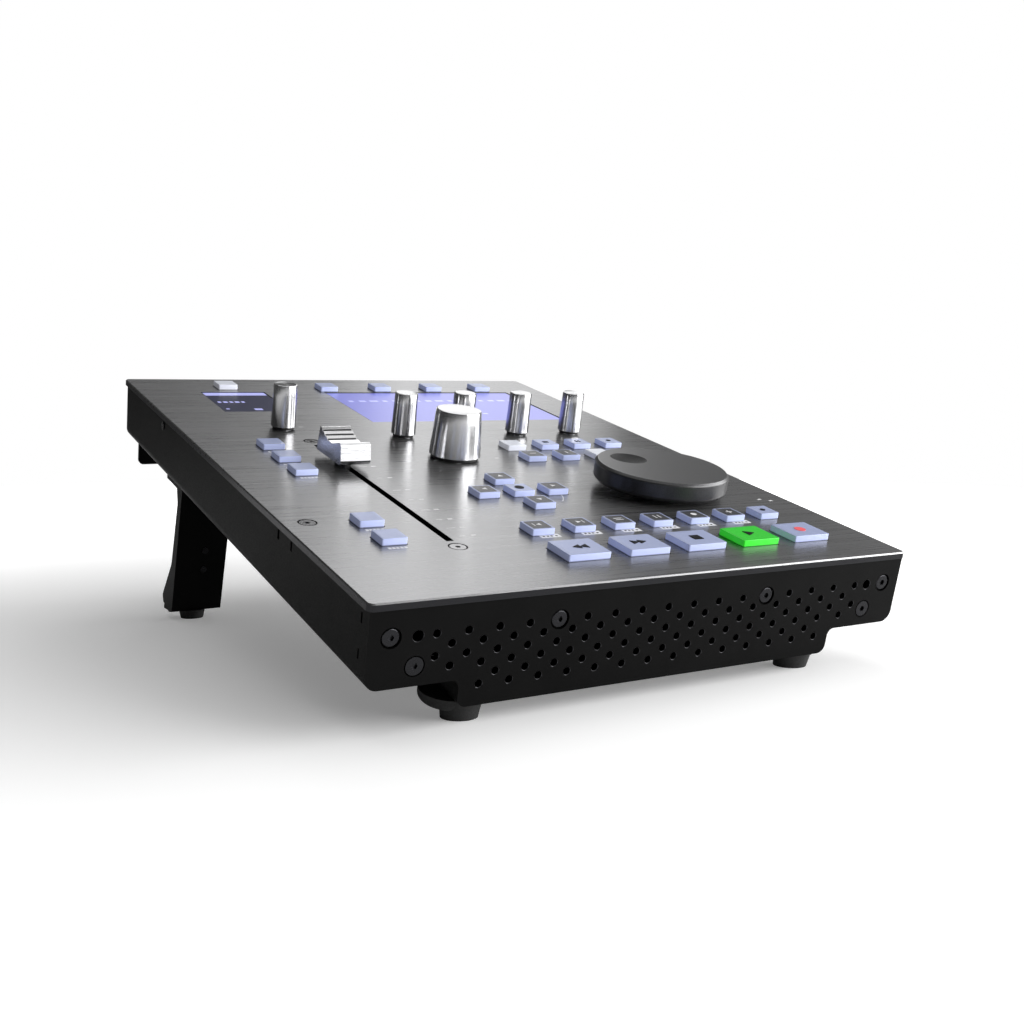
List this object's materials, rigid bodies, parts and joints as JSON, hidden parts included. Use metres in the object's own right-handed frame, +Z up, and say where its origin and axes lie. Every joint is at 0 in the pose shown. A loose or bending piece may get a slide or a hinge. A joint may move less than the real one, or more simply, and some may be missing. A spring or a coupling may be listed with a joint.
{
  "type": "studio control surface",
  "caption": "Wedge-shaped desktop studio controller: touch fader, encoder knobs, jog wheel, displays and backlit keys on a brushed metal plate with screw-on rear legs.",
  "frame": {"origin": "on the desk, in the middle of the footprint", "axes": "+X to the user's right, +Y away from the user, +Z up; the panel slopes up towards +Y"},
  "size_m": [0.199, 0.2657, 0.0983],
  "materials": {
    "brushed_panel": "dark anodised aluminium, brushed from side to side, satin",
    "black_steel": "fine-textured black powder coat",
    "display_glass": "gloss glass over a lit panel",
    "circuit_board": "green solder mask",
    "black_plastic": "moulded black plastic",
    "plain_steel": "plated steel",
    "bearing_brass": "turned brass",
    "foot_rubber": "moulded black rubber",
    "black_screws": "black zinc screws",
    "nickel_jacks": "nickel-plated bush and nut",
    "fader_silver": "satin silver",
    "jog_anodised": "dark anodised, turned satin",
    "knob_silver": "turned and polished",
    "key_lavender": "translucent silicone-like plastic, backlit lavender",
    "key_white": "translucent plastic, backlit white",
    "key_green": "translucent plastic, backlit green"
  },
  "bodies": {
    "chassis": {"top_plate": "brushed_panel", "front_panel": "black_steel", "chassis_shell": "black_steel", "rear_panel": "black_steel", "main_display": "display_glass", "channel_display": "display_glass", "main_board": "circuit_board", "key_switches": "black_plastic", "encoder_bodies": "plain_steel", "jog_bearing": "bearing_brass", "fader_body": "plain_steel", "rubber_feet": "foot_rubber", "stand_legs": "black_steel", "screws": "black_screws", "footswitch_jacks": "nickel_jacks", "rear_sockets": "plain_steel"},
    "fader": {"fader_cap": "fader_silver", "fader_carriage": "black_plastic"},
    "jog": {"jog_wheel": "jog_anodised"},
    "power": {"power_button": "black_plastic"},
    "knob_channel_body": {"knob_channel": "knob_silver"},
    "knob_1_body": {"knob_1": "knob_silver"},
    "knob_2_body": {"knob_2": "knob_silver"},
    "knob_3_body": {"knob_3": "knob_silver"},
    "knob_4_body": {"knob_4": "knob_silver"},
    "knob_select_body": {"knob_select": "knob_silver"},
    "key_solo_body": {"key_solo": "key_lavender"},
    "key_cut_body": {"key_cut": "key_lavender"},
    "key_select_body": {"key_select": "key_lavender"},
    "key_flip_body": {"key_flip": "key_lavender"},
    "key_master_body": {"key_master": "key_lavender"},
    "key_page_body": {"key_page": "key_white"},
    "key_soft_1_body": {"key_soft_1": "key_lavender"},
    "key_soft_2_body": {"key_soft_2": "key_lavender"},
    "key_soft_3_body": {"key_soft_3": "key_lavender"},
    "key_soft_4_body": {"key_soft_4": "key_lavender"},
    "key_nav_up_body": {"key_nav_up": "key_lavender"},
    "key_nav_left_body": {"key_nav_left": "key_lavender"},
    "key_nav_mode_body": {"key_nav_mode": "key_lavender"},
    "key_nav_right_body": {"key_nav_right": "key_lavender"},
    "key_nav_down_body": {"key_nav_down": "key_lavender"},
    "key_row_1_body": {"key_row_1": "key_lavender"},
    "key_row_2_body": {"key_row_2": "key_lavender"},
    "key_row_3_body": {"key_row_3": "key_lavender"},
    "key_row_4_body": {"key_row_4": "key_lavender"},
    "key_row_5_body": {"key_row_5": "key_lavender"},
    "key_row_6_body": {"key_row_6": "key_lavender"},
    "key_row_7_body": {"key_row_7": "key_lavender"},
    "key_upper_1_body": {"key_upper_1": "key_white"},
    "key_upper_2_body": {"key_upper_2": "key_lavender"},
    "key_upper_3_body": {"key_upper_3": "key_lavender"},
    "key_upper_4_body": {"key_upper_4": "key_lavender"},
    "key_upper_5_body": {"key_upper_5": "key_lavender"},
    "key_upper_6_body": {"key_upper_6": "key_lavender"},
    "key_upper_7_body": {"key_upper_7": "key_white"},
    "pad_rewind_body": {"pad_rewind": "key_lavender"},
    "pad_forward_body": {"pad_forward": "key_lavender"},
    "pad_stop_body": {"pad_stop": "key_lavender"},
    "pad_play_body": {"pad_play": "key_green"},
    "pad_record_body": {"pad_record": "key_lavender"}
  },
  "joints": [
    {"name": "fader_slide", "type": "slide", "parent": "chassis", "child": "fader", "axis": [0, 0.9743, 0.2255], "range_m": [-0.08, 0.02]},
    {"name": "jog_turn", "type": "hinge", "parent": "chassis", "child": "jog", "pos_m": [0.0525, -0.05811, 0.06566], "axis": [0, -0.2255, 0.9743], "continuous": true},
    {"name": "power_press", "type": "slide", "parent": "chassis", "child": "power", "axis": [0, -0.9743, -0.2255], "range_m": [0, 0.0016], "stiffness_N_per_m": 600},
    {"name": "knob_channel_turn", "type": "hinge", "parent": "chassis", "child": "knob_channel_body", "pos_m": [-0.0593, 0.03909, 0.07902], "axis": [0, -0.2255, 0.9743], "continuous": true},
    {"name": "knob_1_turn", "type": "hinge", "parent": "chassis", "child": "knob_1_body", "pos_m": [-0.0142, 0.02476, 0.0757], "axis": [0, -0.2255, 0.9743], "continuous": true},
    {"name": "knob_2_turn", "type": "hinge", "parent": "chassis", "child": "knob_2_body", "pos_m": [0.01235, 0.02476, 0.0757], "axis": [0, -0.2255, 0.9743], "continuous": true},
    {"name": "knob_3_turn", "type": "hinge", "parent": "chassis", "child": "knob_3_body", "pos_m": [0.0389, 0.02476, 0.0757], "axis": [0, -0.2255, 0.9743], "continuous": true},
    {"name": "knob_4_turn", "type": "hinge", "parent": "chassis", "child": "knob_4_body", "pos_m": [0.06545, 0.02476, 0.0757], "axis": [0, -0.2255, 0.9743], "continuous": true},
    {"name": "knob_select_turn", "type": "hinge", "parent": "chassis", "child": "knob_select_body", "pos_m": [-0.0074, -0.00632, 0.06851], "axis": [0, -0.2255, 0.9743], "continuous": true},
    {"name": "key_solo_press", "type": "slide", "parent": "chassis", "child": "key_solo_body", "axis": [0, 0.2255, -0.9743], "range_m": [0, 0.0006], "stiffness_N_per_m": 500},
    {"name": "key_cut_press", "type": "slide", "parent": "chassis", "child": "key_cut_body", "axis": [0, 0.2255, -0.9743], "range_m": [0, 0.0006], "stiffness_N_per_m": 500},
    {"name": "key_select_press", "type": "slide", "parent": "chassis", "child": "key_select_body", "axis": [0, 0.2255, -0.9743], "range_m": [0, 0.0006], "stiffness_N_per_m": 500},
    {"name": "key_flip_press", "type": "slide", "parent": "chassis", "child": "key_flip_body", "axis": [0, 0.2255, -0.9743], "range_m": [0, 0.0006], "stiffness_N_per_m": 500},
    {"name": "key_master_press", "type": "slide", "parent": "chassis", "child": "key_master_body", "axis": [0, 0.2255, -0.9743], "range_m": [0, 0.0006], "stiffness_N_per_m": 500},
    {"name": "key_page_press", "type": "slide", "parent": "chassis", "child": "key_page_body", "axis": [0, 0.2255, -0.9743], "range_m": [0, 0.0006], "stiffness_N_per_m": 500},
    {"name": "key_soft_1_press", "type": "slide", "parent": "chassis", "child": "key_soft_1_body", "axis": [0, 0.2255, -0.9743], "range_m": [0, 0.0006], "stiffness_N_per_m": 500},
    {"name": "key_soft_2_press", "type": "slide", "parent": "chassis", "child": "key_soft_2_body", "axis": [0, 0.2255, -0.9743], "range_m": [0, 0.0006], "stiffness_N_per_m": 500},
    {"name": "key_soft_3_press", "type": "slide", "parent": "chassis", "child": "key_soft_3_body", "axis": [0, 0.2255, -0.9743], "range_m": [0, 0.0006], "stiffness_N_per_m": 500},
    {"name": "key_soft_4_press", "type": "slide", "parent": "chassis", "child": "key_soft_4_body", "axis": [0, 0.2255, -0.9743], "range_m": [0, 0.0006], "stiffness_N_per_m": 500},
    {"name": "key_nav_up_press", "type": "slide", "parent": "chassis", "child": "key_nav_up_body", "axis": [0, 0.2255, -0.9743], "range_m": [0, 0.0006], "stiffness_N_per_m": 500},
    {"name": "key_nav_left_press", "type": "slide", "parent": "chassis", "child": "key_nav_left_body", "axis": [0, 0.2255, -0.9743], "range_m": [0, 0.0006], "stiffness_N_per_m": 500},
    {"name": "key_nav_mode_press", "type": "slide", "parent": "chassis", "child": "key_nav_mode_body", "axis": [0, 0.2255, -0.9743], "range_m": [0, 0.0006], "stiffness_N_per_m": 500},
    {"name": "key_nav_right_press", "type": "slide", "parent": "chassis", "child": "key_nav_right_body", "axis": [0, 0.2255, -0.9743], "range_m": [0, 0.0006], "stiffness_N_per_m": 500},
    {"name": "key_nav_down_press", "type": "slide", "parent": "chassis", "child": "key_nav_down_body", "axis": [0, 0.2255, -0.9743], "range_m": [0, 0.0006], "stiffness_N_per_m": 500},
    {"name": "key_row_1_press", "type": "slide", "parent": "chassis", "child": "key_row_1_body", "axis": [0, 0.2255, -0.9743], "range_m": [0, 0.0006], "stiffness_N_per_m": 500},
    {"name": "key_row_2_press", "type": "slide", "parent": "chassis", "child": "key_row_2_body", "axis": [0, 0.2255, -0.9743], "range_m": [0, 0.0006], "stiffness_N_per_m": 500},
    {"name": "key_row_3_press", "type": "slide", "parent": "chassis", "child": "key_row_3_body", "axis": [0, 0.2255, -0.9743], "range_m": [0, 0.0006], "stiffness_N_per_m": 500},
    {"name": "key_row_4_press", "type": "slide", "parent": "chassis", "child": "key_row_4_body", "axis": [0, 0.2255, -0.9743], "range_m": [0, 0.0006], "stiffness_N_per_m": 500},
    {"name": "key_row_5_press", "type": "slide", "parent": "chassis", "child": "key_row_5_body", "axis": [0, 0.2255, -0.9743], "range_m": [0, 0.0006], "stiffness_N_per_m": 500},
    {"name": "key_row_6_press", "type": "slide", "parent": "chassis", "child": "key_row_6_body", "axis": [0, 0.2255, -0.9743], "range_m": [0, 0.0006], "stiffness_N_per_m": 500},
    {"name": "key_row_7_press", "type": "slide", "parent": "chassis", "child": "key_row_7_body", "axis": [0, 0.2255, -0.9743], "range_m": [0, 0.0006], "stiffness_N_per_m": 500},
    {"name": "key_upper_1_press", "type": "slide", "parent": "chassis", "child": "key_upper_1_body", "axis": [0, 0.2255, -0.9743], "range_m": [0, 0.0006], "stiffness_N_per_m": 500},
    {"name": "key_upper_2_press", "type": "slide", "parent": "chassis", "child": "key_upper_2_body", "axis": [0, 0.2255, -0.9743], "range_m": [0, 0.0006], "stiffness_N_per_m": 500},
    {"name": "key_upper_3_press", "type": "slide", "parent": "chassis", "child": "key_upper_3_body", "axis": [0, 0.2255, -0.9743], "range_m": [0, 0.0006], "stiffness_N_per_m": 500},
    {"name": "key_upper_4_press", "type": "slide", "parent": "chassis", "child": "key_upper_4_body", "axis": [0, 0.2255, -0.9743], "range_m": [0, 0.0006], "stiffness_N_per_m": 500},
    {"name": "key_upper_5_press", "type": "slide", "parent": "chassis", "child": "key_upper_5_body", "axis": [0, 0.2255, -0.9743], "range_m": [0, 0.0006], "stiffness_N_per_m": 500},
    {"name": "key_upper_6_press", "type": "slide", "parent": "chassis", "child": "key_upper_6_body", "axis": [0, 0.2255, -0.9743], "range_m": [0, 0.0006], "stiffness_N_per_m": 500},
    {"name": "key_upper_7_press", "type": "slide", "parent": "chassis", "child": "key_upper_7_body", "axis": [0, 0.2255, -0.9743], "range_m": [0, 0.0006], "stiffness_N_per_m": 500},
    {"name": "pad_rewind_press", "type": "slide", "parent": "chassis", "child": "pad_rewind_body", "axis": [0, 0.2255, -0.9743], "range_m": [0, 0.0006], "stiffness_N_per_m": 700},
    {"name": "pad_forward_press", "type": "slide", "parent": "chassis", "child": "pad_forward_body", "axis": [0, 0.2255, -0.9743], "range_m": [0, 0.0006], "stiffness_N_per_m": 700},
    {"name": "pad_stop_press", "type": "slide", "parent": "chassis", "child": "pad_stop_body", "axis": [0, 0.2255, -0.9743], "range_m": [0, 0.0006], "stiffness_N_per_m": 700},
    {"name": "pad_play_press", "type": "slide", "parent": "chassis", "child": "pad_play_body", "axis": [0, 0.2255, -0.9743], "range_m": [0, 0.0006], "stiffness_N_per_m": 700},
    {"name": "pad_record_press", "type": "slide", "parent": "chassis", "child": "pad_record_body", "axis": [0, 0.2255, -0.9743], "range_m": [0, 0.0006], "stiffness_N_per_m": 700}
  ]
}
